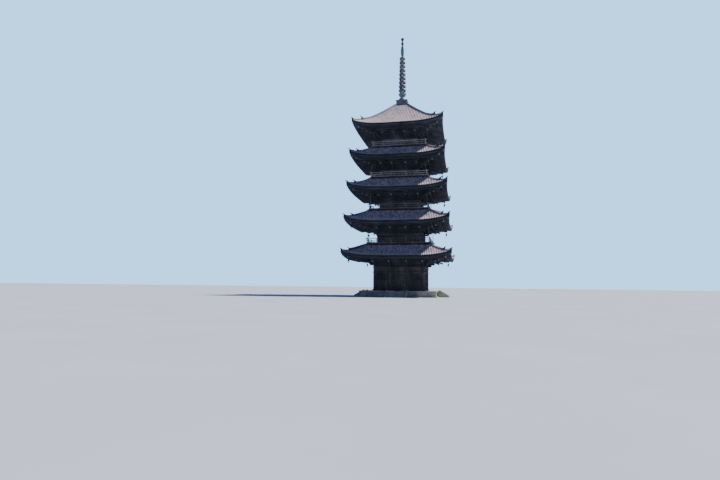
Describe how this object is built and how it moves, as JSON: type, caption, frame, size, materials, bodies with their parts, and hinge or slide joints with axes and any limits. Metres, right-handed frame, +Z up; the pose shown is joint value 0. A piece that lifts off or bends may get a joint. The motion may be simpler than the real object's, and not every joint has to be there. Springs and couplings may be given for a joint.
{
  "type": "five-storey timber pagoda, 1:2 scale model",
  "caption": "Square timber pagoda with stacked tiled roofs, lifted corners, railed balconies, bracketed eaves and a tall ringed finial, as a 1:2 scale model.",
  "frame": {"origin": "on the ground, at the middle of the platform's underside, on the tower's axis", "axes": "+Z up along the tower's axis, front towards -Y, +X to the right of the front"},
  "size_m": [10.3, 10.3, 27.4],
  "materials": {
    "stone": "dressed",
    "timber": "weathered",
    "door_timber": "weathered planks",
    "roof_tile": "smoked clay",
    "ridge_tile": "smoked clay",
    "bronze": "dark patina"
  },
  "bodies": {
    "root": {"stair_front": "stone", "stair_right": "stone", "stair_back": "stone", "stair_left": "stone", "podium": "stone", "storey_1_walls": "timber", "storey_1_doors": "door_timber", "storey_1_brackets": "timber", "storey_1_eaves": "timber", "storey_1_roof": "roof_tile", "storey_1_hip_ridges": "ridge_tile", "storey_2_walls": "timber", "storey_2_doors": "door_timber", "storey_2_brackets": "timber", "storey_2_eaves": "timber", "storey_2_roof": "roof_tile", "storey_2_hip_ridges": "ridge_tile", "storey_2_balcony": "timber", "storey_2_balustrade": "timber", "storey_3_walls": "timber", "storey_3_doors": "door_timber", "storey_3_brackets": "timber", "storey_3_eaves": "timber", "storey_3_roof": "roof_tile", "storey_3_hip_ridges": "ridge_tile", "storey_3_balcony": "timber", "storey_3_balustrade": "timber", "storey_4_walls": "timber", "storey_4_doors": "door_timber", "storey_4_brackets": "timber", "storey_4_eaves": "timber", "storey_4_roof": "roof_tile", "storey_4_hip_ridges": "ridge_tile", "storey_4_balcony": "timber", "storey_4_balustrade": "timber", "storey_5_walls": "timber", "storey_5_doors": "door_timber", "storey_5_brackets": "timber", "storey_5_eaves": "timber", "storey_5_roof": "roof_tile", "storey_5_hip_ridges": "ridge_tile", "storey_5_balcony": "timber", "storey_5_balustrade": "timber", "heart_pillar": "timber", "finial_base": "bronze", "finial_bowl": "bronze", "finial_rings": "bronze", "finial_flame": "bronze", "finial_ball": "bronze", "finial_jewel": "bronze"}
  },
  "joints": []
}
